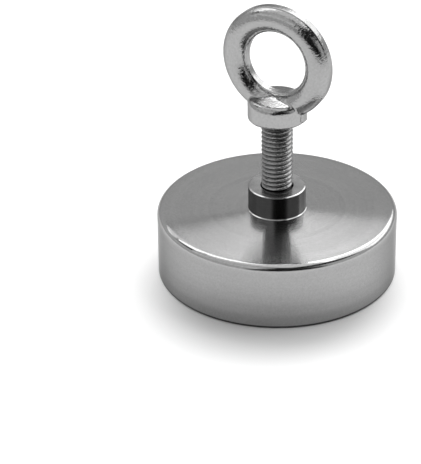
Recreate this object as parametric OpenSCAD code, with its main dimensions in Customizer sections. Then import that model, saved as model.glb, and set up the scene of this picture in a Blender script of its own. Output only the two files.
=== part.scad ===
// Magnet fishing magnet: a turned steel pot with a disc magnet potted into its
// underside, a threaded bush riveted into its roof and a forged eyebolt in the bush.
// The origin is the centre of the working face, +Z runs up the bolt and the eye
// opens along Y. All sizes are in millimetres.

/* [Pot] */
// Outside diameter of the pot
pot_d = 75; // [60:0.5:100]
// Height of the pot, from its rim to the top of its roof
pot_h = 21.5; // [18:0.5:30]
// Thickness of the side wall
wall_t = 5.5; // [4:0.25:8]
// Thickness of the roof
roof_t = 8; // [6:0.25:10]
// Radius of the rounded top edge
edge_r = 2; // [0.5:0.25:3.5]
// Chamfer on the inner and outer edge of the rim
rim_chamfer = 0.4; // [0.2:0.1:1]

/* [Magnet] */
// Width of the resin ring between the magnet and the wall
resin_w = 3.5; // [2:0.25:6]
// Depth of the magnet's face behind the rim
face_recess = 0.3; // [0.1:0.05:1]
// Thickness of the bond film between the magnet and the roof
bond_t = 0.2; // [0.1:0.05:0.5]
// Chamfer on the edges of the magnet
magnet_chamfer = 0.6; // [0.2:0.1:1]
// Depth to which the resin has shrunk between the magnet and the wall
meniscus = 0.5; // [0.2:0.1:0.8]

/* [Bush] */
// Diameter of the boss that stands on the roof
boss_d = 18; // [17:0.25:26]
// Height of the boss above the roof
boss_h = 7.7; // [4:0.1:14]
// Chamfer on the top edge of the boss
boss_chamfer = 0.4; // [0.2:0.1:1]
// Width and height of the bevelled foot that seats the boss on the roof
boss_foot = 0.4; // [0.2:0.1:1]
// Wall of the spigot that passes through the roof, round the bore
spigot_wall = 2; // [1.5:0.1:3]
// Width and height of the riveted flare at the spigot's lower end
flare = 1; // [0.5:0.1:1.8]
// Thickness of the floor that closes the bore
floor_t = 2; // [1:0.1:4]
// Width and height of the countersink at the mouth of the bore
mouth_chamfer = 0.2; // [0.2:0.1:1.2]

/* [Eyebolt] */
// Outside diameter of the thread, at the small end of the tolerance of a 10 mm coarse thread
thread_d = 9.75; // [7.75:0.25:12]
// Length of the threaded shank below the collar
shank_l = 36.8; // [28:0.1:60]
// Chamfer at the tip of the shank
tip_chamfer = 1; // [0.5:0.1:1.5]
// Diameter of the collar
collar_d = 18.2; // [16:0.1:24]
// Radius of the collar's lower edge
collar_low_r = 0.8; // [0.3:0.1:1.2]
// Radius of the collar's upper edge
collar_top_r = 2.4; // [0.5:0.1:3]
// Depth of the collar's upper edge below the lowest point of the eye
shoulder_drop = 1.8; // [1:0.1:3]
// Height of the ring's lowest point above the underside of the collar
ring_lift = 1; // [0.2:0.1:3]
// Diameter of the hole in the eye
eye_d = 20; // [16:0.5:30]
// Thickness of the ring, across its trimmed lands
ring_t = 8; // [6.5:0.25:11]
// Width of the trimmed land along the parting plane of the forging
land_w = 2.6; // [1:0.1:4]
// Height of the land above the round of the ring
ring_land_h = 0.1; // [0.05:0.05:0.5]
// Height of the land above the round of the collar
collar_land_h = 0.5; // [0.2:0.1:1]

/* [Clearances] */
// Radial running clearance of the shank in the bore
run_clear = 0.05; // [0.02:0.01:0.1]
// Gap between the tip of the shank and the floor of the bore
tip_gap = 0.3; // [0.2:0.1:1]

/* [Hidden] */
$fn = 96;
// How far a cut runs past the face that it leaves through
past = 1;
pot_r = pot_d / 2;
cavity_r = pot_r - wall_t;
cavity_h = pot_h - roof_t;
magnet_r = cavity_r - resin_w;
magnet_top = cavity_h - bond_t;
// The meniscus stops just short of the magnet and of the wall
meniscus_c = 0.45 * resin_w;
meniscus_r = (meniscus_c * meniscus_c + meniscus * meniscus) / (2 * meniscus);
thread_r = thread_d / 2;
bore_r = thread_r + run_clear;
spigot_r = bore_r + spigot_wall;
bore_floor = cavity_h + floor_t;
boss_r = boss_d / 2;
boss_top = pot_h + boss_h;
tip_z = bore_floor + tip_gap;
collar_r = collar_d / 2;
collar_z = tip_z + shank_l;
eye_low = collar_z + ring_lift + ring_t;
collar_top = eye_low - shoulder_drop;
ring_z = eye_low + eye_d / 2;
ring_mid_r = (eye_d + ring_t) / 2;
ring_round_r = ring_t / 2 - ring_land_h;
// The shoulder meets the round of the ring two thirds of the round's radius out from the middle
shoulder_r = ring_round_r * 2 / 3;
shoulder_z = ring_z - ring_mid_r + sqrt(ring_round_r * ring_round_r - shoulder_r * shoulder_r);

// Half outline of the pot's outside: round at the top edge, bevelled at the rim.
module pot_outline() {
    difference() {
        union() {
            square([pot_r, pot_h - edge_r]);
            square([pot_r - edge_r, pot_h]);
            translate([pot_r - edge_r, pot_h - edge_r])
                circle(edge_r);
        }
        polygon([
            [pot_r - rim_chamfer - past, -past],
            [pot_r + past, -past],
            [pot_r + past, rim_chamfer + past],
        ]);
    }
}

// Half outline of the pot's inside: the bevelled mouth, the hollow for the magnet and
// the hole for the bush, countersunk where the spigot is riveted over.
module pot_hollow() {
    polygon([
        [0, -past],
        [cavity_r + rim_chamfer + past, -past],
        [cavity_r, rim_chamfer],
        [cavity_r, cavity_h],
        [spigot_r + flare, cavity_h],
        [spigot_r, cavity_h + flare],
        [spigot_r, pot_h + past],
        [0, pot_h + past],
    ]);
}

// Half outline of the magnet, bevelled on both edges.
module magnet_outline() {
    polygon([
        [0, face_recess],
        [magnet_r - magnet_chamfer, face_recess],
        [magnet_r, face_recess + magnet_chamfer],
        [magnet_r, magnet_top - magnet_chamfer],
        [magnet_r - magnet_chamfer, magnet_top],
        [0, magnet_top],
    ]);
}

// Turned steel cup that carries the flux from the magnet to the rim.
module pot_shell() {
    color("lightgrey")
    rotate_extrude()
        difference() {
            pot_outline();
            pot_hollow();
        }
}

// Plated disc magnet, set back a little behind the rim.
module disc_magnet() {
    color("silver")
    rotate_extrude()
        magnet_outline();
}

// Resin that fills the cup round and above the magnet, shrunk hollow at the face.
module potting_resin() {
    color("dimgray")
    rotate_extrude()
        difference() {
            translate([0, face_recess])
                square([cavity_r, cavity_h - face_recess]);
            magnet_outline();
            translate([magnet_r + resin_w / 2, face_recess + meniscus - meniscus_r])
                circle(meniscus_r);
        }
}

// Turned bush: a boss on the roof, a spigot riveted over inside, and a blind bore.
module threaded_bush() {
    color("gray")
    rotate_extrude()
        polygon([
            [0, cavity_h],
            [spigot_r + flare, cavity_h],
            [spigot_r, cavity_h + flare],
            [spigot_r, pot_h],
            [boss_r + boss_foot, pot_h],
            [boss_r, pot_h + boss_foot],
            [boss_r, boss_top - boss_chamfer],
            [boss_r - boss_chamfer, boss_top],
            [bore_r + mouth_chamfer, boss_top],
            [bore_r, boss_top - mouth_chamfer],
            [bore_r, bore_floor],
            [0, bore_floor],
        ]);
}

// Half outline of the threaded shank, bevelled at its tip.
module shank_outline() {
    polygon([
        [0, tip_z],
        [thread_r - tip_chamfer, tip_z],
        [thread_r, tip_z + tip_chamfer],
        [thread_r, collar_z + collar_low_r],
        [0, collar_z + collar_low_r],
    ]);
}

// Half outline of the collar: two round edges, and a shoulder that rises to the ring.
module collar_outline() {
    translate([0, collar_z + collar_low_r])
        square([collar_r, collar_top - collar_top_r - collar_z - collar_low_r]);
    translate([collar_r - collar_low_r, collar_z + collar_low_r])
        circle(collar_low_r);
    translate([collar_r - collar_top_r, collar_top - collar_top_r])
        circle(collar_top_r);
    polygon([
        [0, collar_z],
        [collar_r - collar_low_r, collar_z],
        [collar_r - collar_top_r, collar_top],
        [shoulder_r, shoulder_z],
        [0, shoulder_z],
    ]);
}

// Plan of the trimmed flash in the parting plane: a rim to the eye, inside and out, and
// a foot that crosses the collar.
module land_plan() {
    difference() {
        union() {
            circle(ring_mid_r + ring_t / 2);
            translate([-collar_r - collar_land_h, collar_z + collar_low_r - ring_z])
                square([2 * (collar_r + collar_land_h), ring_z - ring_mid_r - collar_z - collar_low_r]);
        }
        circle(eye_d / 2);
    }
}

// Drop-forged eyebolt in one piece: shank and collar turned about Z, a round ring that
// stands on the collar, and the land that is left where the flash was trimmed.
module eyebolt() {
    color("lightsteelblue")
    union() {
        rotate_extrude() {
            shank_outline();
            collar_outline();
        }
        translate([0, 0, ring_z])
            rotate([90, 0, 0]) {
                rotate_extrude()
                    translate([ring_mid_r, 0])
                        circle(ring_round_r);
                linear_extrude(land_w, center = true)
                    land_plan();
            }
    }
}

pot_shell();
disc_magnet();
potting_resin();
threaded_bush();
eyebolt();
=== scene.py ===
import math

import bpy
import numpy as np
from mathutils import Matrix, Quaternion, Vector


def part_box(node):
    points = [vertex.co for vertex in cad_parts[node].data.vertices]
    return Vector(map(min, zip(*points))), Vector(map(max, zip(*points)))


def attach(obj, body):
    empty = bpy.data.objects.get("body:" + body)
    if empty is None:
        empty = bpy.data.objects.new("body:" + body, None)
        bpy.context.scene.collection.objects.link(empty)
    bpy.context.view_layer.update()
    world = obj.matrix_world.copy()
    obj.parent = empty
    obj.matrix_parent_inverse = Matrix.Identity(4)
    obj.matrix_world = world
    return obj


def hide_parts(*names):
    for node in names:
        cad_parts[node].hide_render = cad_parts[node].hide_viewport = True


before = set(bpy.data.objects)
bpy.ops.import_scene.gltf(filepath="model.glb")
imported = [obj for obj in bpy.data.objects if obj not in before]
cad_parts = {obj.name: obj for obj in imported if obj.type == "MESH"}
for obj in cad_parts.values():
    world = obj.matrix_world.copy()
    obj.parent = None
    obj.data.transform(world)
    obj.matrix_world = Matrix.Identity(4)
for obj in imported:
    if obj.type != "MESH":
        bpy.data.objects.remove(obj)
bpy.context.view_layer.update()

MM = 0.001

# Sizes in millimetres. The outer ones come from the solids, the inner ones are the drawing's.
POT_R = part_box("pot_shell")[1].x / MM
POT_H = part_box("pot_shell")[1].z / MM
EDGE_R = 2.0
RIM_BEVEL = 0.4
CAVITY_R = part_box("potting_resin")[1].x / MM
CAVITY_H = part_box("potting_resin")[1].z / MM
MAGNET_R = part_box("disc_magnet")[1].x / MM
MAGNET_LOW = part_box("disc_magnet")[0].z / MM
MAGNET_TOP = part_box("disc_magnet")[1].z / MM
MAGNET_BEVEL = 0.6
MENISCUS = 0.5
RESIN_BEVEL = 0.05
BOSS_R = 9.0
BOSS_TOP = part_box("threaded_bush")[1].z / MM
BOSS_FOOT = 0.4
BOSS_EDGE = 0.45
BOSS_SLOPE = 0.2
MOUTH_BEVEL = 0.2
BORE_R = 4.925
BORE_FLOOR = 15.5
SPIGOT_R = 6.925
FLARE = 1.0
TIP_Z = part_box("eyebolt")[0].z / MM
TIP_BEVEL = 1.0
THREAD_R = 4.875
THREAD_PITCH = 1.5
THREAD_DEPTH = 0.6
SHANK_END_DIP = 0.3
SHANK_IN_COLLAR = 2.0
COLLAR_R = 9.1
COLLAR_LOW = 52.6
COLLAR_TOP = 59.8
COLLAR_LOW_ROUND = 0.8
COLLAR_TOP_ROUND = 2.4
SHOULDER_R = 2.6
SHOULDER_RISE = 0.71
RING_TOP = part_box("eyebolt")[1].z / MM
RING_OUT = 18.0
RING_IN = 10.0
RING_Z = RING_TOP - RING_OUT
RING_MID = (RING_OUT + RING_IN) / 2
RING_ROUND = 3.9
RING_FILLET = 0.6
LAND_HALF = 1.3
LAND_OUT = RING_OUT - 0.02
LAND_FILLET = 0.2
COLLAR_LAND = 9.6


class Wire:
    """One output of a shader node. Arithmetic on wires adds Math nodes to their tree."""

    def __init__(self, tree, socket):
        self.tree = tree
        self.socket = socket

    def maths(self, operation, first, second):
        return self.tree.node("ShaderNodeMath", {"operation": operation}, {0: first, 1: second})

    def __add__(self, other):
        return self.maths("ADD", self, other)

    def __radd__(self, other):
        return self.maths("ADD", other, self)

    def __sub__(self, other):
        return self.maths("SUBTRACT", self, other)

    def __rsub__(self, other):
        return self.maths("SUBTRACT", other, self)

    def __mul__(self, other):
        return self.maths("MULTIPLY", self, other)

    def __rmul__(self, other):
        return self.maths("MULTIPLY", other, self)

    def __pow__(self, other):
        return self.maths("POWER", self, other)


class Tree:
    """The node tree of a material or of the world."""

    def __init__(self, node_tree):
        self.node_tree = node_tree
        node_tree.nodes.clear()

    def node(self, kind, settings, sockets, output=0):
        """Adds a node, sets its settings, then its sockets, and gives one of its outputs."""
        made = self.node_tree.nodes.new(kind)
        for name, value in settings.items():
            setattr(made, name, value)
        for name, value in sockets.items():
            if isinstance(value, Wire):
                self.node_tree.links.new(value.socket, made.inputs[name])
            else:
                made.inputs[name].default_value = value
        return Wire(self, made.outputs[output]) if len(made.outputs) else None

    def place(self, coordinates="Object"):
        """The shaded point, or the direction in the world's tree."""
        return self.node("ShaderNodeTexCoord", {}, {}, coordinates)

    def axes(self, place):
        """The three coordinates of a point as wires."""
        return [self.node("ShaderNodeSeparateXYZ", {}, {0: place}, i) for i in range(3)]

    def noise(self, place, scale, detail=2.0, roughness=0.5):
        """Cloudy noise from 0 to 1 at a point."""
        sockets = {"Vector": place, "Scale": scale, "Detail": detail, "Roughness": roughness}
        return self.node("ShaderNodeTexNoise", {"noise_dimensions": "3D"}, sockets)

    def streak(self, along, scale, detail=2.0, roughness=0.5):
        """Noise from 0 to 1 that changes only with one length, as lathe grooves do."""
        sockets = {"W": along, "Scale": scale, "Detail": detail, "Roughness": roughness}
        return self.node("ShaderNodeTexNoise", {"noise_dimensions": "1D"}, sockets)

    def rise(self, value, low, high):
        """0 below low, 1 above high and a smooth step between them."""
        sockets = {"Value": value, "From Min": low, "From Max": high}
        return self.node("ShaderNodeMapRange", {"interpolation_type": "SMOOTHSTEP"}, sockets)

    def past(self, length, low, high):
        """The same smooth step for a length, between two lengths in millimetres."""
        return self.rise(length, low * MM, high * MM)

    def tint(self, factor, first, second):
        """Colour between two colours."""
        sockets = {0: factor, 6: first, 7: second}
        return self.node("ShaderNodeMix", {"data_type": "RGBA"}, sockets, 2)

    def bump(self, height, strength, distance):
        """Normal of a surface that has this height, in metres times distance."""
        sockets = {"Height": height, "Strength": strength, "Distance": distance}
        return self.node("ShaderNodeBump", {}, sockets)

    def surface(self, shader):
        """Joins a shader to the material's output."""
        self.node("ShaderNodeOutputMaterial", {}, {"Surface": shader})

    def principled(self, sockets):
        """Makes the surface a Principled shader with these sockets."""
        self.surface(self.node("ShaderNodeBsdfPrincipled", {}, sockets))


def new_material(name):
    """A new material and its empty tree."""
    material = bpy.data.materials.new(name)
    material.use_nodes = True
    return material, Tree(material.node_tree)


def grey(value, warmth=0.0):
    """A grey that leans a little to yellow with warmth."""
    return (value + warmth, value, value - warmth, 1.0)


def centred(noise):
    """Noise from -0.5 to 0.5."""
    return noise - 0.5


def turned_steel():
    """Pot: satin nickel plate over fine lathe circles. Radius less height runs over the roof, round
    the edge and down the wall, so one noise along it draws every groove. The tool left each groove
    of the roof with its long side facing outwards, so the plate there shines like a flat cone. The
    wall's plate colour is painted darker as shade, and the bevel at its foot is painted near-black as a
    contact shadow."""
    groove_depth = 0.0016 * MM
    dimple_depth = 0.01 * MM
    lean = math.tan(math.radians(4.5))
    roof_end = POT_R - EDGE_R - POT_H
    wall_start = POT_R + EDGE_R - POT_H
    rim_out = POT_R - RIM_BEVEL
    material, t = new_material("turned_nickel")
    place = t.place()
    x, y, z = t.axes(place)
    radius = (x * x + y * y) ** 0.5
    along = radius - z
    fine = t.streak(along, scale=5200.0, detail=3.0, roughness=0.65)
    broad = t.streak(along, scale=420.0, detail=3.0, roughness=0.6)
    cloud = t.noise(place, scale=55.0, detail=4.0, roughness=0.6)
    grain = t.noise(place, scale=1500.0, detail=2.0, roughness=0.6)
    wall = t.past(along, wall_start - 1.0, wall_start + 0.4)
    edge = t.past(along, roof_end - 0.6, roof_end + 1.0) * (1 - wall)
    # Painted contact shadow: the bevel at the foot of the rim is coloured near-black.
    painted_foot_shadow = t.past(radius, rim_out - 0.1, rim_out + 0.1) * (1 - t.past(z, 0.5, 1.0))
    stripes = 0.5 * centred(fine) + 0.6 * centred(broad)
    shade = 0.5 + stripes + 0.5 * centred(cloud) + 1.2 * centred(grain)
    roof_plate = t.tint(shade, grey(0.36), grey(0.45))
    # Painted shade: the wall takes a darker copy of the roof's plate colour.
    shaded_wall_plate = t.tint(shade, grey(0.31), grey(0.39))
    height = groove_depth * fine + dimple_depth * grain - lean * radius
    t.principled({
        "Base Color": t.tint(painted_foot_shadow, t.tint(wall, roof_plate, shaded_wall_plate), grey(0.04)),
        "Metallic": 1.0,
        "Specular Tint": grey(0.5),
        "Roughness": 0.14 + 0.05 * centred(broad) + 0.04 * centred(cloud) - 0.04 * edge,
        "Anisotropic": 1.0,
        "Anisotropic Rotation": 0.25,
        "Normal": t.bump(height, 1.0, 1.0),
    })
    return material


def polished_steel():
    """Boss: bright turned plate, with faint circles on its satin top and faint streaks on its glossy
    side, whose colour is painted darker as shade. The mouth of the bore is painted near-black as shade,
    and the rest is mottled at random."""
    material, t = new_material("polished_nickel")
    place = t.place()
    x, y, z = t.axes(place)
    radius = (x * x + y * y) ** 0.5
    fine = t.streak(radius - z, scale=6500.0, detail=2.0, roughness=0.6)
    cloud = t.noise(place, scale=160.0, detail=3.0, roughness=0.6)
    within_side = 1 - t.past(radius, BOSS_R + 0.01, BOSS_R + 0.05)
    # Painted shade: the side takes a darker plate colour than the top.
    side = t.past(radius, BOSS_R - 0.1, BOSS_R - 0.02) * within_side
    top = t.past(z, BOSS_TOP - 0.2, BOSS_TOP - 0.05)
    # Painted shade: near-black in the bore's mouth. Elsewhere the noise mottles the plate darker at
    # random.
    mottle_and_bore_shade = t.past(radius, BORE_R + 0.125, BORE_R + 0.375) * (0.5 + 0.7 * cloud)
    t.principled({
        "Base Color": t.tint(mottle_and_bore_shade, grey(0.02), t.tint(side, grey(0.44), grey(0.20))),
        "Metallic": 1.0,
        "Specular Tint": grey(0.5),
        "Roughness": 0.08 + 0.12 * top + 0.05 * centred(cloud) + 0.04 * centred(fine),
        "Anisotropic": 0.3,
        "Anisotropic Rotation": 0.25,
        "Normal": t.bump(fine, 0.15, 0.02 * MM),
    })
    return material


def forged_steel():
    """Eyebolt: bright plate over a tumbled forging, uneven at a few millimetres and pitted at one. The
    thread is darker, with painted shade in its roots, which are also dull, and it is painted black as
    shade where it enters the bush."""
    material, t = new_material("tumbled_nickel")
    place = t.place()
    x, y, z = t.axes(place)
    radius = (x * x + y * y) ** 0.5
    swell = t.noise(place, scale=140.0, detail=2.0, roughness=0.5)
    pits = t.noise(place, scale=1300.0, detail=2.0, roughness=0.6)
    cloud = t.noise(place, scale=60.0, detail=3.0, roughness=0.6)
    thread = 1 - t.past(z, COLLAR_LOW - 0.6, COLLAR_LOW)
    root = 1 - t.past(radius, THREAD_R - 0.575, THREAD_R - 0.175)
    # Painted shade: near-black on the shank inside the bore and just above the boss.
    painted_mouth_shade = 1 - t.past(z, BOSS_TOP, BOSS_TOP + 0.5)
    head_plate = t.tint(0.5 + 0.6 * centred(cloud) + 1.2 * centred(pits), grey(0.31), grey(0.41))
    # Painted shade: the thread's roots take a much darker colour than its crests.
    thread_plate_and_root_shade = t.tint(root, grey(0.28), grey(0.12))
    unevenness = 0.06 * centred(cloud) + 0.06 * centred(pits)
    t.principled({
        "Base Color": t.tint(painted_mouth_shade, t.tint(thread, head_plate, thread_plate_and_root_shade), grey(0.02)),
        "Metallic": 1.0,
        "Specular Tint": grey(0.45),
        "Roughness": 0.13 + unevenness + 0.12 * root * thread,
        "Normal": t.bump(0.5 * swell + 1.8 * pits, 0.3, 0.2 * MM),
    })
    return material


def plated_magnet():
    """Disc magnet: nickel plate, ground flat, with a few scuffs from the iron it has held."""
    material, t = new_material("ground_nickel")
    place = t.place()
    cloud = t.noise(place, scale=80.0, detail=4.0, roughness=0.6)
    drawn_out = {"Vector": place, "Rotation": (0.0, 0.0, 0.6), "Scale": (60.0, 1500.0, 60.0)}
    scratches = t.node("ShaderNodeMapping", {}, drawn_out)
    mark = t.rise(t.noise(scratches, scale=1.0, detail=3.0, roughness=0.7), 0.60, 0.72)
    t.principled({
        "Base Color": t.tint(cloud, grey(0.58, 0.015), grey(0.68, 0.012)),
        "Metallic": 1.0,
        "Roughness": 0.18 + 0.10 * centred(cloud) + 0.16 * mark,
        "Normal": t.bump(mark, 0.2, 0.02 * MM),
    })
    return material


def black_resin():
    """Potting resin: black, cast and glossy, with a little dust and a few fine bubbles."""
    material, t = new_material("black_resin")
    place = t.place()
    cloud = t.noise(place, scale=120.0, detail=4.0, roughness=0.6)
    speck = t.rise(t.noise(place, scale=2600.0, detail=1.0, roughness=0.5), 0.66, 0.74)
    t.principled({
        "Base Color": t.tint(0.7 * cloud + 0.3 * speck, grey(0.018), grey(0.045)),
        "Roughness": 0.16 + 0.12 * cloud + 0.2 * speck,
        "Coat Weight": 0.4,
        "Normal": t.bump(0.5 * cloud - 0.5 * speck, 0.2, 0.1 * MM),
    })
    return material


def cells(body):
    """Quads between the neighbouring rows and columns of a grid of point numbers."""
    corners = [body[:-1, :-1], body[:-1, 1:], body[1:, 1:], body[1:, :-1]]
    return np.stack(corners, axis=-1).reshape(-1, 4)


def skin(name, grid, wrap=False, shift=0, low=None, high=None):
    """Mesh of a grid of points, rows by columns, whose columns close round an axis. With wrap the rows
    close too. With shift the last column meets the first one that many rows higher, as on a screw.
    A low or high point closes the first or the last row with a fan. Faces turn from row to column
    so that they point outwards where columns run anticlockwise and rows run up."""
    rows, columns, _ = grid.shape
    index = np.arange(rows * columns).reshape(rows, columns)
    lift = np.arange(rows) + shift
    seam = np.where(lift < rows, index[np.minimum(lift, rows - 1), 0], -1)
    body = np.concatenate([index, seam[:, None]], axis=1)
    if wrap:
        body = np.concatenate([body, body[:1]])
    quads = cells(body)
    quads = quads[(quads >= 0).all(axis=1)]
    points = [grid.reshape(-1, 3)]
    corners = [quads.ravel()]
    sizes = [np.full(len(quads), 4)]
    if low is not None:
        loop = np.concatenate([index[0], index[shift:0:-1, 0]])
        fan = np.stack([np.full(len(loop), rows * columns), np.roll(loop, -1), loop], axis=-1)
        points.append(np.array([low]))
        corners.append(fan.ravel())
        sizes.append(np.full(len(fan), 3))
    if high is not None:
        loop = np.concatenate([index[-1], index[-1 - shift:-1, -1][::-1]])
        tip = rows * columns + (low is not None)
        fan = np.stack([np.full(len(loop), tip), loop, np.roll(loop, -1)], axis=-1)
        points.append(np.array([high]))
        corners.append(fan.ravel())
        sizes.append(np.full(len(fan), 3))
    points = np.concatenate(points) * MM
    corners = np.concatenate(corners)
    sizes = np.concatenate(sizes)
    mesh = bpy.data.meshes.new(name)
    mesh.vertices.add(len(points))
    mesh.vertices.foreach_set("co", points.astype(np.float32).ravel())
    mesh.loops.add(len(corners))
    mesh.loops.foreach_set("vertex_index", corners.astype(np.int32))
    mesh.polygons.add(len(sizes))
    mesh.polygons.foreach_set("loop_start", (np.cumsum(sizes) - sizes).astype(np.int32))
    mesh.polygons.foreach_set("use_smooth", np.ones(len(sizes), dtype=bool))
    mesh.update(calc_edges=True)
    mesh.validate()
    piece = bpy.data.objects.new(name, mesh)
    bpy.context.scene.collection.objects.link(piece)
    return piece


def eased(corners, reach, steps=7, guard=0.06):
    """Outline whose corners are arcs: each corner P gives way to the arc that touches both of its
    sides at the reach from P, as the rational curve (A(1-s)^2 + 2wPs(1-s) + Bs^2) over the same sum
    of weights, with w the sine of half the corner. A guard point on each side keeps the flats flat.
    The reach is one length for all corners or one for each."""
    corners = np.asarray(corners, float)
    reach = np.broadcast_to(reach, len(corners))[:, None]
    back = np.roll(corners, 1, axis=0) - corners
    ahead = np.roll(corners, -1, axis=0) - corners
    back /= np.linalg.norm(back, axis=1, keepdims=True)
    ahead /= np.linalg.norm(ahead, axis=1, keepdims=True)
    half = np.arccos(np.clip((back * ahead).sum(axis=1), -1, 1)) / 2
    s = np.linspace(0, 1, steps)[None, :, None]
    ends = (1 - s) ** 2
    middle = 2 * np.sin(half)[:, None, None] * s * (1 - s)
    starts = s ** 2
    first = (corners + back * reach)[:, None]
    last = (corners + ahead * reach)[:, None]
    arc = (ends * first + middle * corners[:, None] + starts * last) / (ends + middle + starts)
    guards = [(corners + side * (reach + guard))[:, None] for side in (back, ahead)]
    return np.concatenate([guards[0], arc, guards[1]], axis=1)


def turned(name, outline, columns, poles):
    """Surface of revolution: outline points (r, z) go round Z as (r cos a, r sin a, z). With poles the
    outline starts and ends on the axis, where fans close it, and otherwise it is a closed loop."""
    angle = np.linspace(0, 2 * np.pi, columns, endpoint=False)
    r, z = outline[:, :1], outline[:, 1:]
    grid = np.stack([r * np.cos(angle), r * np.sin(angle), z + 0 * angle], axis=-1)
    if not poles:
        return skin(name, grid, wrap=True)
    return skin(name, grid[1:-1], low=(0, 0, outline[0, 1]), high=(0, 0, outline[-1, 1]))


def pot():
    """Cup: bevelled rim, wall, rounded top edge, roof, the hole for the bush and the hollow inside."""
    corners = [
        (CAVITY_R + RIM_BEVEL, 0),
        (POT_R - RIM_BEVEL, 0),
        (POT_R, RIM_BEVEL),
        (POT_R, POT_H),
        (SPIGOT_R, POT_H),
        (SPIGOT_R, CAVITY_H + FLARE),
        (SPIGOT_R + FLARE, CAVITY_H),
        (CAVITY_R, CAVITY_H),
        (CAVITY_R, RIM_BEVEL),
    ]
    reach = np.full(len(corners), 0.1)
    reach[corners.index((POT_R, POT_H))] = EDGE_R
    outline = eased(corners, reach, steps=13).reshape(-1, 2)
    return turned("pot", outline, columns=288, poles=False)


def pole_to_pole(corners, reach):
    """Eased outline of a shape that meets the axis at its first and its last corner."""
    inner = eased(corners, reach)[1:-1].reshape(-1, 2)
    return np.concatenate([[corners[0]], inner, [corners[-1]]])


def boss():
    """Bush: spigot riveted under the roof, bevelled foot, side, bevelled top, countersunk blind bore."""
    corners = [
        (0, CAVITY_H),
        (SPIGOT_R + FLARE, CAVITY_H),
        (SPIGOT_R, CAVITY_H + FLARE),
        (SPIGOT_R, POT_H),
        (BOSS_R + BOSS_FOOT, POT_H),
        (BOSS_R, POT_H + BOSS_SLOPE),
        (BOSS_R, BOSS_TOP - BOSS_SLOPE),
        (BOSS_R - BOSS_EDGE, BOSS_TOP),
        (BORE_R + MOUTH_BEVEL, BOSS_TOP),
        (BORE_R, BOSS_TOP - MOUTH_BEVEL),
        (BORE_R, BORE_FLOOR),
        (0, BORE_FLOOR),
    ]
    return turned("boss", pole_to_pole(corners, reach=0.08), columns=192, poles=True)


def magnet():
    """Disc magnet, bevelled on both edges."""
    corners = [
        (0, MAGNET_LOW),
        (MAGNET_R - MAGNET_BEVEL, MAGNET_LOW),
        (MAGNET_R, MAGNET_LOW + MAGNET_BEVEL),
        (MAGNET_R, MAGNET_TOP - MAGNET_BEVEL),
        (MAGNET_R - MAGNET_BEVEL, MAGNET_TOP),
        (0, MAGNET_TOP),
    ]
    return turned("magnet", pole_to_pole(corners, reach=0.15), columns=240, poles=True)


def resin():
    """Potting: a film above the magnet and a ring round it, whose face has shrunk to a hollow that
    falls away from both edges as a parabola."""
    across = np.linspace(-1, 1, 25)[:, None]
    middle = (MAGNET_R + CAVITY_R) / 2
    half = (CAVITY_R - MAGNET_R) / 2
    hollow = np.hstack([middle + half * across, MAGNET_LOW + MENISCUS * (1 - across ** 2)])
    over_magnet = [
        (0, MAGNET_TOP),
        (MAGNET_R - MAGNET_BEVEL, MAGNET_TOP),
        (MAGNET_R, MAGNET_TOP - MAGNET_BEVEL),
        (MAGNET_R, MAGNET_LOW),
    ]
    under_roof = [
        (CAVITY_R, CAVITY_H - RESIN_BEVEL),
        (CAVITY_R - RESIN_BEVEL, CAVITY_H),
        (0, CAVITY_H),
    ]
    bevel = eased(over_magnet, reach=0.1)[1:3].reshape(-1, 2)
    outline = np.concatenate([over_magnet[:1], bevel, hollow, under_roof])
    return turned("resin", outline, columns=240, poles=True)


def join(first, second, soft):
    """Distance to two shapes together, where a fillet as wide as soft fills the corner between them:
    the lesser distance less h^2 soft / 4, with h the share of soft that their difference leaves."""
    h = np.maximum(soft - np.abs(first - second), 0) / soft
    return np.minimum(first, second) - h ** 2 * soft / 4


def forging(x, y, z):
    """Signed distance to the head of the eyebolt: a round ring in the XZ plane, a collar with round
    edges and a rising shoulder, and the trimmed land that runs over both in the parting plane."""
    round_r = np.hypot(x, z - RING_Z)
    ring = np.hypot(round_r - RING_MID, y) - RING_ROUND
    r = np.hypot(x, y)
    inner = COLLAR_R - COLLAR_TOP_ROUND
    shoulder = SHOULDER_RISE * np.clip((inner - r) / (inner - SHOULDER_R), 0, 1)
    middle = (COLLAR_LOW + COLLAR_TOP) / 2
    half = (COLLAR_TOP - COLLAR_LOW) / 2
    edge = np.where(z > middle, COLLAR_TOP_ROUND, COLLAR_LOW_ROUND)
    out = r - COLLAR_R + edge
    up = np.where(z > middle, z - shoulder - middle, middle - z) - half + edge
    collar = np.hypot(np.maximum(out, 0), np.maximum(up, 0)) + np.minimum(np.maximum(out, up), 0) - edge
    foot = np.maximum(np.abs(x) - COLLAR_LAND, COLLAR_LOW + COLLAR_LOW_ROUND - z)
    foot = np.maximum(foot, z - RING_Z + RING_MID)
    plan = np.maximum(np.minimum(round_r - LAND_OUT, foot), RING_IN - round_r)
    land = -join(-plan, LAND_HALF - np.abs(y), LAND_FILLET)
    return join(join(ring, collar, RING_FILLET), land, LAND_FILLET)


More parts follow.
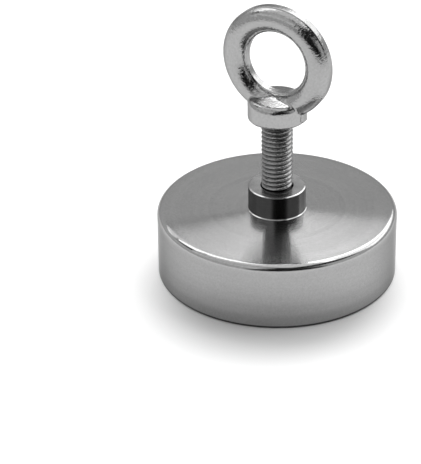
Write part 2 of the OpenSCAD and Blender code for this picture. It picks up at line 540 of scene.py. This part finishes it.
def eye():
    """Ring and collar: from each point of the ring's centre line, at angle u from straight down, rays go
    out at angle v round the section, and halving finds where the distance along each ray is nought.
    The angles crowd together at the collar and along the land."""
    rows = 400
    columns = 168
    crowd_rows = 0.45
    crowd_columns = 0.18
    longest_ray = 13.0
    halvings = 36
    turn = np.linspace(-np.pi, np.pi, rows, endpoint=False)[:, None]
    u = turn - crowd_rows * np.sin(turn)
    step = np.linspace(-np.pi, np.pi, columns, endpoint=False)[None, :]
    v = step - crowd_columns * np.sin(2 * step)

    def on_ray(t):
        reach = RING_MID + t * np.cos(v)
        return reach * np.sin(u), t * np.sin(v), RING_Z - reach * np.cos(u)

    near = np.zeros((rows, columns))
    far = np.full((rows, columns), longest_ray)
    for _ in range(halvings):
        t = (near + far) / 2
        outside = forging(*on_ray(t)) > 0
        far = np.where(outside, t, far)
        near = np.where(outside, near, t)
    return skin("eye", np.stack(on_ray(near), axis=-1), wrap=True)


def shank():
    """Right-handed thread: a row is one point of the thread's outline, and a column one step round the
    helix, which rises by a pitch in a turn, so the end of a turn is the start of the turn above.
    The outline is a rolled thread's wave, half of 1 less the cosine, to a power that flattens the
    crest. A cone bevels the tip."""
    per_turn = 14
    columns = 120
    crest_power = 0.8
    outline = np.arange(per_turn) / per_turn
    crest = (0.5 - 0.5 * np.cos(2 * np.pi * outline)) ** crest_power
    turns = math.floor((COLLAR_LOW + SHANK_IN_COLLAR - TIP_Z) / THREAD_PITCH) - 1
    phase = (np.arange(turns)[:, None] + outline[None, :]).reshape(-1, 1)
    depth = np.tile(THREAD_DEPTH * (1 - crest), turns)[:, None]
    way_round = np.arange(columns)[None, :] / columns
    z = TIP_Z + THREAD_PITCH * (phase + way_round)
    r = np.minimum(THREAD_R - depth, THREAD_R - TIP_BEVEL + (z - TIP_Z))
    a = 2 * np.pi * way_round
    grid = np.stack([r * np.cos(a), r * np.sin(a), z], axis=-1)
    low = (0, 0, TIP_Z + SHANK_END_DIP)
    high = (0, 0, z.max() - SHANK_END_DIP)
    return skin("shank", grid, shift=per_turn, low=low, high=high)


MADE = [
    (pot, turned_steel, "pot", "pot_shell", "turned_steel"),
    (boss, polished_steel, "pot", "threaded_bush", "polished_steel"),
    (magnet, plated_magnet, "pot", "disc_magnet", "plated_magnet"),
    (resin, black_resin, "pot", "potting_resin", "resin"),
]
for shape, material, body, node, slot in MADE:
    piece = shape()
    piece.data.materials.append(material())
    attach(piece, body)
    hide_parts(node)

steel = forged_steel()
for shape in (eye, shank):
    piece = shape()
    piece.data.materials.append(steel)
    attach(piece, "eyebolt")
    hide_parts("eyebolt")

# The photograph's view: the eye's hole is turned by this much from the line of sight.
VIEW = math.radians(27.25)
TOWARDS = Vector((math.sin(VIEW), -math.cos(VIEW), 0))
RIGHT = Vector((math.cos(VIEW), math.sin(VIEW), 0))

# Lengths in metres.
LAMP_DISTANCE = 1.2
FLOOR_HALF = 6.0
CLIP_NEAR = 0.01
CLIP_FAR = 50.0

# The floor's painted shadow, a hole in its glow: how far its middle lies towards the camera, and the
# distances from there, all in millimetres, between which the glow rises.
SHADOW_SHIFT = 21.0
SHADOW_INNER = 23.0
SHADOW_OUTER = 48.0

# The floor's grey and the strength of its glow.
PAPER_GREY = 0.72
GLOW = 0.36

# The room: heights between which the wall ends, the gap's bearing, and how far from there the gap is
# fully open and where it closes, all in degrees.
WALL_END_LOW = 31
WALL_END_HIGH = 35
GAP_BEARING = 10
GAP_OPEN = 29
GAP_CLOSED = 43

# Brightness of the room, and what the wall adds to it.
ROOM_LIGHT = 0.015
WALL_LIGHT = 0.69

# Name, bearing, height, width and height of the lamp, all in degrees, and brightness.
LAMPS = [
    ("window", 127, 47, 54, 52, 2.05),
    ("rear", -169, 41, 72, 12, 1.35),
    ("high_rear", -169, 58, 72, 20, 2.8),
    ("left", -54, 50, 62, 34, 0.80),
    ("top", 46, 89, 42, 62, 1.15),
]


def sine(degrees):
    """Sine of an angle in degrees."""
    return math.sin(math.radians(degrees))


def cosine(degrees):
    """Cosine of an angle in degrees."""
    return math.cos(math.radians(degrees))


def level(bearing):
    """Level direction at a bearing, which counts in degrees from the camera to its right."""
    return TOWARDS * cosine(bearing) + RIGHT * sine(bearing)


def stand(name, data, place, forward, roll=0.0):
    """Object for a camera or a lamp at a place, looking forward and leaning by roll degrees."""
    made = bpy.data.objects.new(name, data)
    made.location = place
    made.rotation_mode = "QUATERNION"
    upright = forward.to_track_quat("-Z", "Y")
    made.rotation_quaternion = upright @ Quaternion((0, 0, 1), -math.radians(roll))
    bpy.context.scene.collection.objects.link(made)
    return made


def camera(place, aim, roll, lens):
    """Camera that looks from a place at an aim, both in millimetres, and leans by roll degrees."""
    eye_piece = bpy.data.cameras.new("camera")
    eye_piece.lens = lens
    eye_piece.clip_start = CLIP_NEAR
    eye_piece.clip_end = CLIP_FAR
    forward = Vector(aim) - Vector(place)
    bpy.context.scene.camera = stand("camera", eye_piece, Vector(place) * MM, forward, roll)


def softbox(name, bearing, height, wide, high, brightness):
    """Rectangular lamp a lamp's distance from the object. Bearing is measured from the camera to its
    right and height above the floor, in degrees, wide and high are the angles that the lamp fills,
    and a brightness of 1 is as bright as a white sheet."""
    lamp = bpy.data.lights.new(name, "AREA")
    lamp.shape = "RECTANGLE"
    lamp.size = 2 * LAMP_DISTANCE * math.tan(math.radians(wide / 2))
    lamp.size_y = 2 * LAMP_DISTANCE * math.tan(math.radians(high / 2))
    lamp.energy = brightness * math.pi * lamp.size * lamp.size_y
    away = level(bearing) * cosine(height) + Vector((0, 0, sine(height)))
    stand(name, lamp, away * LAMP_DISTANCE, -away).visible_camera = False


def paper():
    """Floor's material: pale diffuse paper. A painted glow makes it white for the camera and in
    reflections, and fades out in a ring round a point in front of the pot, which paints the pot's shadow
    there."""
    material, t = new_material("floor")
    x, y, _ = t.axes(t.place())
    shadow = TOWARDS * SHADOW_SHIFT * MM
    across = x - shadow.x
    back = y - shadow.y
    # Painted shadow: the glow fades out within a ring round a point in front of the pot.
    glow_outside_painted_shadow = t.past((across * across + back * back) ** 0.5, SHADOW_INNER, SHADOW_OUTER)
    rays = ("Is Camera Ray", "Is Glossy Ray", "Is Transmission Ray")
    by_camera, in_gloss, in_glass = [t.node("ShaderNodeLightPath", {}, {}, ray) for ray in rays]
    sheet = t.node("ShaderNodeBsdfDiffuse", {}, {"Color": grey(PAPER_GREY)})
    sockets = {
        "Color": t.tint(glow_outside_painted_shadow, grey(0.0), grey(1.0)),
        "Strength": GLOW * (by_camera + in_gloss + in_glass),
    }
    glow = t.node("ShaderNodeEmission", {}, sockets)
    t.surface(t.node("ShaderNodeAddShader", {}, {0: sheet, 1: glow}))
    return material


def floor():
    """Wide flat sheet, a grid of points in the plane of the pot's rim."""
    points_across = 9
    side = np.linspace(-FLOOR_HALF, FLOOR_HALF, points_across)
    x, y = np.meshgrid(side, side)
    points = np.stack([x, y, 0 * x], axis=-1).reshape(-1, 3)
    index = np.arange(points_across ** 2).reshape(points_across, points_across)
    mesh = bpy.data.meshes.new("floor")
    mesh.from_pydata(points.tolist(), [], cells(index).tolist())
    mesh.materials.append(paper())
    sheet = bpy.data.objects.new("floor", mesh)
    bpy.context.scene.collection.objects.link(sheet)


def surroundings():
    """World: a dim room with a pale wall round it, and a dark gap in the wall behind the camera."""
    world = bpy.data.worlds.new("room")
    world.use_nodes = True
    bpy.context.scene.world = world
    t = Tree(world.node_tree)
    x, y, z = t.axes(t.place("Generated"))
    wall = 1 - t.rise(z, sine(WALL_END_LOW), sine(WALL_END_HIGH))
    gap = level(GAP_BEARING)
    beside = 1 - t.rise(x * gap.x + y * gap.y, cosine(GAP_CLOSED), cosine(GAP_OPEN))
    sockets = {"Color": grey(1.0), "Strength": ROOM_LIGHT + WALL_LIGHT * wall * beside}
    sky = t.node("ShaderNodeBackground", {}, sockets)
    t.node("ShaderNodeOutputWorld", {}, {"Surface": sky})


camera(place=(276.25, -536.38, 358.18), aim=(-19.11, -8.62, 11.51), roll=0.813, lens=171.3)
floor()
surroundings()
for lamp in LAMPS:
    softbox(*lamp)

bpy.context.scene.view_settings.view_transform = "Standard"
